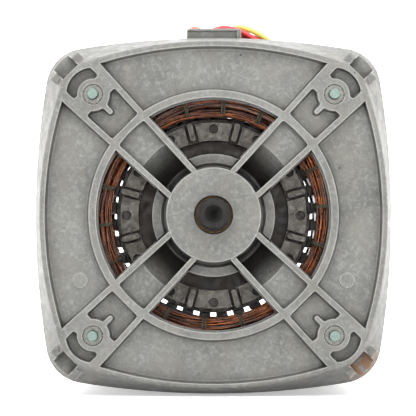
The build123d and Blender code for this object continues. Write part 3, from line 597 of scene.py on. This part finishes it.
# ------------------------------------------------------------------ windings
def bundle_outline(share, size, corner):
    """A point on a rounded rectangle's outline, and the way out of it, at a share of its length."""
    wide, tall = size[0] - 2 * corner, size[1] - 2 * corner
    runs = (wide, pi / 2 * corner, tall, pi / 2 * corner) * 2
    left = share % 1.0 * sum(runs)
    spot, heading = Vector((-wide / 2, -size[1] / 2)), Vector((1, 0))
    for index, run in enumerate(runs):
        along = min(left, run)
        if index % 2 == 0:
            spot = spot + heading * along
        else:
            turn = along / corner
            centre = spot + Vector((-heading.y, heading.x)) * corner
            arm = spot - centre
            arm.rotate(Matrix.Rotation(turn, 2))
            spot = centre + arm
            heading.rotate(Matrix.Rotation(turn, 2))
        left -= along
        if left <= 0:
            break
    return spot, Vector((heading.y, -heading.x))


def swell(angle, waves):
    """How far the ring's bore bulges at an angle, from 0 to 1, out of three seeded waves."""
    height = sum(sin(count * angle + phase) for count, phase in waves)
    return 0.5 + height / 6


def winding_paths(inner, outer, near, far, sizes, seed, bulge=0.0):
    """Strands that run round a ring of end turns, drifting across each other."""
    chance = Random(seed)
    waves = [(count, chance.uniform(0, tau)) for count in (3, 5, 11)]
    section = (outer - inner - sizes.strand, far - near - sizes.strand)
    middle_r, middle_y = (inner + outer) / 2, (near + far) / 2
    paths = []
    for row in range(sizes.strand_rows):
        angle = chance.uniform(0, tau)
        end = angle + tau
        while angle < end - 0.2:
            span = min(chance.uniform(0.7, 1.7), end - angle + 0.15)
            start = (row + chance.uniform(-0.5, 0.5)) / sizes.strand_rows
            drift = chance.uniform(-0.05, 0.05)
            lift = chance.uniform(-0.35, 0.10) * sizes.strand
            steps = max(5, int(span / 0.11))
            path = []
            for step in range(steps + 1):
                t = step / steps
                spot, away = bundle_outline(start + drift * sin(pi * (t - 0.5)), section, BUNDLE_CORNER)
                dip = lift - 0.0011 * (abs(2 * t - 1) ** 6)
                r, y = middle_r + spot.x + away.x * dip, middle_y + spot.y + away.y * dip
                a = angle + span * t
                inwards = max(0.0, (middle_r - r) / (middle_r - inner))
                r -= bulge * inwards * (swell(a, waves) + 1.3 * max(0.0, sin(a)) ** 2)
                path.append((r * cos(a), y, r * sin(a)))
            paths.append(path)
            angle += span * 0.93
    return paths


def ring_core(name, inner, outer, near, far, inset):
    """The dark packed middle of a bundle, a lathed ring."""
    nothing_selected()
    bpy.ops.mesh.primitive_circle_add(vertices=4, radius=0.5, rotation=(pi / 2, 0, 0), location=(0, 0, 0))
    piece = bpy.context.object
    settle(piece)
    corners = [(inner + inset, near + inset), (outer - inset, near + inset)]
    corners += [(outer - inset, far - inset), (inner + inset, far - inset)]
    for vertex, (r, y) in zip(piece.data.vertices, corners):
        vertex.co = (r, y, 0)
    apply_modifier(piece, "SCREW", axis="Y", steps=96, render_steps=96, angle=tau, use_merge_vertices=True)
    face_outwards(piece)
    piece.name = name
    return piece


class MOTOR_OT_windings(Operator):
    """Wind the end turns of both coils at both ends out of single strands"""

    bl_idname = "motor.windings"
    bl_label = "End turns"

    def execute(self, context):
        sizes, tones = context.scene.motor_sizes, context.scene.motor_colours
        copper = enamelled_copper(tones)
        layers = {"start_winding": START_TURNS, "main_winding": MAIN_TURNS}
        for seed, (layer, ends) in enumerate(layers.items()):
            for end, (inner, outer) in ends.items():
                node = f"{layer}_{end}"
                low, high = node_box(node)
                bulge = START_SWELL if layer == "start_winding" else 0.0
                draw = seed * 2 + (end == "rear")
                paths = winding_paths(inner, outer, low.y, high.y, sizes, draw, bulge)
                strands = wires(f"{node}_strands", paths, sizes.strand / 2)
                core = ring_core(f"{node}_core", inner, outer, low.y, high.y, CORE_INSET)
                piece = merged([strands, core], f"{node}_wound")
                finished(piece, copper, "frame", [node])
        dress(copper, ["coil_sides"])
        return {"FINISHED"}


def lacing_path(angle, low, high, inner, outer, chance):
    """One loop of cord round both bundles, slightly askew."""
    lean = chance.uniform(-0.010, 0.010)
    size = (outer - inner, high.y - low.y)
    middle_r, middle_y = (inner + outer) / 2, (low.y + high.y) / 2
    path = []
    for step in range(36):
        spot, _ = bundle_outline(step / 36, size, 0.002)
        a = angle + lean * sin(tau * step / 36 + 1)
        r = middle_r + spot.x
        path.append((r * cos(a), middle_y + spot.y, r * sin(a)))
    return path


class MOTOR_OT_lacing(Operator):
    """Tie the end turns with loops of waxed cord"""

    bl_idname = "motor.lacing"
    bl_label = "Lacing cord"

    def execute(self, context):
        sizes, tones = context.scene.motor_sizes, context.scene.motor_colours
        cord = fibre("lacing_cord", tuple(tones.cord))
        chance = Random(7)
        for end in ("front", "rear"):
            low, high = node_box(f"winding_lacing_{end}")
            paths = []
            inner, outer = LACING_BORE[end] + sizes.lacing / 2, LACING_OUTER - sizes.lacing / 2
            squeeze = Vector((0, sizes.lacing / 2, 0))
            for tie in range(LACING_TIES):
                angle = tau * (tie + 0.25) / LACING_TIES
                for strand in (-1, 1):
                    at = angle + strand * sizes.lacing * LACING_SPACING / LACING_MEAN
                    paths.append(lacing_path(at, low + squeeze, high - squeeze, inner, outer, chance))
            piece = wires(f"lacing_cords_{end}", paths, sizes.lacing / 2, closed=True)
            finished(settle(piece), cord, "frame", [f"winding_lacing_{end}"])
        return {"FINISHED"}


# ------------------------------------------------------------------ bolts
def round_bar(sides, radius, near, far):
    """A prism along the shaft axis between two depths."""
    nothing_selected()
    bpy.ops.mesh.primitive_cylinder_add(
        vertices=sides,
        radius=radius,
        depth=far - near,
        rotation=(pi / 2, 0, 0),
        location=(0, (near + far) / 2, 0),
    )
    return settle(bpy.context.object)


def threaded_tip(sizes, radius, near, far):
    """A round bar with a rolled thread from its tip, made at the shaft axis."""
    root = radius - sizes.thread_depth
    bar = round_bar(24, root, near, far)
    bpy.ops.object.mode_set(mode="EDIT")
    bpy.ops.mesh.select_mode(type="FACE")
    bpy.ops.mesh.select_all(action="DESELECT")
    bpy.ops.object.mode_set(mode="OBJECT")
    for face in bar.data.polygons:
        face.select = face.normal.y < -0.9
    bpy.ops.object.mode_set(mode="EDIT")
    bpy.ops.mesh.inset(thickness=root * 0.25)
    bpy.ops.object.mode_set(mode="OBJECT")
    bpy.ops.mesh.primitive_circle_add(vertices=3, radius=0.5, rotation=(0, 0, 0))
    ridge = bpy.context.object
    half = sizes.thread_pitch * 0.48
    inside = root - 0.05 * MM
    for vertex, (r, y) in zip(ridge.data.vertices, ((inside, -half), (radius, 0), (inside, half))):
        vertex.co = (r, y + near + half, 0)
    apply_modifier(
        ridge, "SCREW", axis="Y", steps=20, render_steps=20, angle=tau * THREAD_TURNS,
        screw_offset=sizes.thread_pitch * THREAD_TURNS, use_merge_vertices=False,
    )
    face_outwards(ridge)
    return [bar, ridge]


def hex_head(across, near, far, flange_radius, flange_depth):
    """A flanged hexagon head with a chamfered crown and a shallow dish, at the shaft axis."""
    head = round_bar(6, across / 3**0.5, near, far)
    for face in head.data.polygons:
        face.select = face.normal.y > 0.9
    bpy.ops.object.mode_set(mode="EDIT")
    bpy.ops.mesh.select_mode(type="FACE")
    bpy.ops.mesh.inset(thickness=across * 0.12)
    bpy.ops.mesh.inset(thickness=across * 0.10)
    bpy.ops.transform.translate(value=(0, -0.4 * MM, 0))
    bpy.ops.object.mode_set(mode="OBJECT")
    apply_modifier(head, "BEVEL", width=0.25 * MM, segments=2)
    flange = round_bar(32, flange_radius, near, near + flange_depth)
    apply_modifier(flange, "BEVEL", width=0.15 * MM, segments=2)
    return [head, flange]


class MOTOR_OT_bolts(Operator):
    """Thread the through bolts and shape their heads"""

    bl_idname = "motor.bolts"
    bl_label = "Through bolts"

    def execute(self, context):
        sizes, tones = context.scene.motor_sizes, context.scene.motor_colours
        low, high = node_box("through_bolts")
        face = node_box("bolt_washers")[1].y
        bolt_parts = threaded_tip(sizes, BOLT_RADIUS, low.y, face)
        bolt_parts += hex_head(HEAD_ACROSS, face, high.y, FLANGE_RADIUS, FLANGE_DEPTH)
        one = merged(bolt_parts, "bolt")
        smooth(one, 35)
        bolts = [one] + [copied(one, (0, 0, 0)) for _ in range(3)]
        for bolt, (sx, sz) in zip(bolts, ((-1, -1), (-1, 1), (1, -1), (1, 1))):
            bolt.location = (sx * BOLT_AT, 0, sz * BOLT_AT)
            bolt.rotation_euler = (0, 0.7 * sx + 1.3 * sz, 0)
        piece = merged(bolts, "threaded_bolts")
        plating = plated("bolt_plating", tuple(tones.bolt), 0.55)
        finished(piece, plating, "frame", ["through_bolts"])
        zinc = plated("zinc_plating", tuple(tones.zinc))
        dress(zinc, ["bolt_washers", "knurled_nuts", "terminal_screws", "switch_screws"])
        return {"FINISHED"}


# ------------------------------------------------------------------ leads and terminals
def connector_sleeve(low, high, wall):
    """A moulded sleeve over one spade terminal, with a mouth sunk into both ends."""
    nothing_selected()
    size, middle = high - low, (low + high) / 2
    bpy.ops.mesh.primitive_cube_add(size=1, location=middle, scale=size)
    sleeve = settle(bpy.context.object)
    bpy.ops.object.mode_set(mode="EDIT")
    bpy.ops.mesh.select_all(action="SELECT")
    bpy.ops.object.mode_set(mode="OBJECT")
    apply_modifier(sleeve, "BEVEL", width=0.9 * MM, segments=3)
    for sign in (-1, 1):
        only(sleeve)
        for face in sleeve.data.polygons:
            face.select = face.normal.y * sign > 0.99
        bpy.ops.object.mode_set(mode="EDIT")
        bpy.ops.mesh.select_mode(type="FACE")
        bpy.ops.mesh.inset(thickness=wall)
        bpy.ops.transform.translate(value=(0, -sign * CONNECTOR_MOUTH, 0))
        bpy.ops.mesh.inset(thickness=wall * 0.5)
        bpy.ops.object.mode_set(mode="OBJECT")
    return sleeve


class MOTOR_OT_leads(Operator):
    """Colour the leads, and shape the sleeves over their terminals"""

    bl_idname = "motor.leads"
    bl_label = "Leads and connectors"

    def execute(self, context):
        sizes, tones = context.scene.motor_sizes, context.scene.motor_colours
        for lead in ("red", "orange", "yellow"):
            dress(insulation(f"{lead}_lead", tuple(getattr(tones, lead))), [f"lead_{lead}"])
        low, high = node_box("lead_connectors")
        sleeves = []
        for step in (-1, 0, 1):
            left = Vector((step * CONNECTOR_PITCH - CONNECTOR_HALF, low.y, low.z))
            right = Vector((step * CONNECTOR_PITCH + CONNECTOR_HALF, high.y, high.z))
            sleeves.append(connector_sleeve(left, right, sizes.sleeve_wall))
        piece = merged(sleeves, "connector_sleeves")
        smooth(piece, 30)
        milky = moulded("milky_sleeve", tuple(tones.sleeve), (0.3, 0.5), coat=0.1)
        finished(piece, milky, "frame", ["lead_connectors"])
        dress(moulded("grommet_rubber", tuple(tones.rubber), (0.6, 0.8)), ["lead_grommet"])
        brass = turned_steel("tinned_brass", tuple(tones.brass), metallic=0.8)
        dress(brass, ["terminal_tabs", "switch_contacts"])
        return {"FINISHED"}


# ------------------------------------------------------------------ finishes of the CAD nodes
class MOTOR_OT_castings(Operator):
    """Finish the end shields and the parts held in them"""

    bl_idname = "motor.castings"
    bl_label = "End shields and bearings"

    def execute(self, context):
        tones = context.scene.motor_colours
        dress(cast_aluminium(tones), ["front_end_shield", "rear_end_shield"])
        bearings = ["front_bearing", "rear_bearing"]
        dress(turned_steel("sintered_bronze", tuple(tones.bronze), metallic=0.6), bearings)
        dress(fibre("oil_felt", tuple(tones.felt)), ["front_oil_felt", "rear_oil_felt"])
        sprung = ["front_bearing_retainer", "rear_bearing_retainer", "rear_bearing_cap", "switch_pivot_pin"]
        dress(turned_steel("spring_steel", tuple(tones.spring)), sprung)
        board = moulded("moulded_board", tuple(tones.board), (0.35, 0.6), coat=0.05)
        dress(board, ["terminal_board", "switch_base"])
        dress(moulded("black_moulding", tuple(tones.black)), ["switch_arm", "governor_collar"])
        return {"FINISHED"}


class MOTOR_OT_stator(Operator):
    """Finish the stator stack, its slots and its film"""

    bl_idname = "motor.stator"
    bl_label = "Stator"

    def execute(self, context):
        tones = context.scene.motor_colours
        iron = tuple(tones.iron)
        grey = tuple(c * k for c, k in zip(iron, (1.5, 1.6, 1.8)))
        dress(laminated("stator_laminations", grey), ["stator_core"])
        dress(dark_film(tones), ["slot_liners", "slot_wedges"])
        return {"FINISHED"}


class MOTOR_OT_rotor(Operator):
    """Finish the rotor, the shaft and the governor"""

    bl_idname = "motor.rotor"
    bl_label = "Rotor and governor"

    def execute(self, context):
        tones = context.scene.motor_colours
        dress(turned_steel("shaft_steel", tuple(tones.shaft)), ["shaft"])
        dress(laminated("rotor_laminations", tuple(tones.iron), shine=0.28), ["rotor_core"])
        dress(stained_casting(tones), ["rotor_cage"])
        dress(moulded("thrust_fibre", tuple(tones.thrust)), ["front_thrust_washers"])
        rolled = ["governor_plate", "governor_spring", "governor_pins"]
        dress(plated("rolled_steel", tuple(tones.rolled)), rolled)
        weights = ["governor_weight_upper", "governor_weight_lower"]
        dress(plated("pressed_steel", tuple(tones.pressed)), weights)
        return {"FINISHED"}


# ------------------------------------------------------------------ stage
def area_light(name, place, aim, size, strength):
    """A soft square light that points at a place."""
    data = bpy.data.lights.new(name, "AREA")
    data.size = size
    data.energy = strength
    lamp = bpy.data.objects.new(name, data)
    bpy.context.collection.objects.link(lamp)
    lamp.location = place
    lamp.rotation_euler = (Vector(aim) - Vector(place)).to_track_quat("-Z", "Y").to_euler()
    return lamp


def sweep_sheet(floor_level):
    """A pale floor that curves up into a backdrop behind the motor."""
    nothing_selected()
    middle = SHEET_BACK - SHEET_DEPTH / 2
    bpy.ops.mesh.primitive_plane_add(size=1, location=(0, middle, floor_level))
    sheet = bpy.context.object
    sheet.scale = (SHEET_WIDTH, SHEET_DEPTH, 1)
    settle(sheet)
    for edge in sheet.data.edges:
        edge.select = all(sheet.data.vertices[i].co.y > SHEET_BACK - 0.01 for i in edge.vertices)
    bpy.ops.object.mode_set(mode="EDIT")
    bpy.ops.mesh.select_mode(type="EDGE")
    bpy.ops.mesh.extrude_region_move(TRANSFORM_OT_translate={"value": (0, 0, SHEET_HEIGHT)})
    bpy.ops.object.mode_set(mode="OBJECT")
    for edge in sheet.data.edges:
        ends = [sheet.data.vertices[i].co for i in edge.vertices]
        edge.select = all(c.y > SHEET_BACK - 0.01 and abs(c.z - floor_level) < 0.001 for c in ends)
    bpy.ops.object.mode_set(mode="EDIT")
    bpy.ops.mesh.bevel(offset=0.5, segments=12, profile=0.5)
    bpy.ops.object.mode_set(mode="OBJECT")
    bpy.ops.object.shade_smooth()
    sheet.name = "paper_sweep"
    return sheet


class MOTOR_OT_stage(Operator):
    """Set out the floor, the lights and the camera"""

    bl_idname = "motor.stage"
    bl_label = "Stage"

    def execute(self, context):
        stage = context.scene.motor_stage
        floor = sweep_sheet(cad_box[0][2] - 0.0002)
        paper = Finish("paper", roughness=0.9)
        paper.paint(paper.mixed((0.90, 0.90, 0.90), (0.88, 0.88, 0.88), paper.noise(0.05)))
        paper.shader.inputs["Emission Color"].default_value = (1, 1, 1, 1)
        depth = paper.add("ShaderNodeSeparateXYZ", {"Vector": paper.place}).outputs["Y"]
        glow = paper.spread(depth, 0.16, 0.45, 0.42, 1.0)
        paper.feed(paper.shader.inputs["Emission Strength"], glow)
        floor.data.materials.append(paper.material)

        centre = (0, 0.03, 0)
        for name, place, size, strength in (
            ("light_above", (-0.15, -0.55, 1.05), 0.7, stage.key),
            ("light_front", (0.10, -1.30, 0.10), 0.6, stage.fill),
            ("light_left", (-0.95, -0.35, 0.15), 0.6, stage.side),
            ("light_right", (0.95, -0.35, 0.15), 0.6, stage.side),
        ):
            area_light(name, place, centre, size, strength)
        world = bpy.data.worlds.new("soft_room")
        world.use_nodes = True
        world.node_tree.nodes["Background"].inputs["Color"].default_value = (0.93, 0.95, 1.0, 1)
        world.node_tree.nodes["Background"].inputs["Strength"].default_value = 0.20
        context.scene.world = world
        context.scene.view_settings.view_transform = "Standard"

        data = bpy.data.cameras.new("camera")
        data.sensor_width = 36
        data.lens = data.sensor_width * stage.distance / stage.view_width
        data.clip_start, data.clip_end = 0.05, 20
        camera = bpy.data.objects.new("camera", data)
        context.collection.objects.link(camera)
        lift = stage.elevation
        camera.location = (
            stage.aim_x,
            -stage.distance * cos(lift),
            stage.aim_z + stage.distance * sin(lift),
        )
        camera.rotation_euler = (pi / 2 - lift, 0, 0)
        context.scene.camera = camera
        return {"FINISHED"}


# ------------------------------------------------------------------ sidebar and registration
OPERATORS = (
    MOTOR_OT_stage,
    MOTOR_OT_castings,
    MOTOR_OT_stator,
    MOTOR_OT_windings,
    MOTOR_OT_lacing,
    MOTOR_OT_rotor,
    MOTOR_OT_bolts,
    MOTOR_OT_leads,
)


class MOTOR_PT_sidebar(Panel):
    """The motor's pieces and settings"""

    bl_idname = "MOTOR_PT_sidebar"
    bl_label = "Open-frame motor"
    bl_space_type = "VIEW_3D"
    bl_region_type = "UI"
    bl_category = "Motor"

    def draw(self, context):
        for operator in OPERATORS:
            self.layout.operator(operator.bl_idname)
        for group in ("motor_sizes", "motor_colours", "motor_stage"):
            settings = getattr(context.scene, group)
            for name in settings.bl_rna.properties.keys():
                if name not in ("rna_type", "name"):
                    self.layout.prop(settings, name)


CLASSES = (MotorColours, MotorSizes, StageSettings, *OPERATORS, MOTOR_PT_sidebar)


def register():
    for item in CLASSES:
        bpy.utils.register_class(item)
    bpy.types.Scene.motor_colours = PointerProperty(type=MotorColours)
    bpy.types.Scene.motor_sizes = PointerProperty(type=MotorSizes)
    bpy.types.Scene.motor_stage = PointerProperty(type=StageSettings)


def unregister():
    for name in ("motor_colours", "motor_sizes", "motor_stage"):
        delattr(bpy.types.Scene, name)
    for item in reversed(CLASSES):
        bpy.utils.unregister_class(item)


def main():
    """Builds every piece in order."""
    register()
    for operator in OPERATORS:
        group, name = operator.bl_idname.split(".")
        getattr(getattr(bpy.ops, group), name)()


if __name__ == "__main__":
    main()
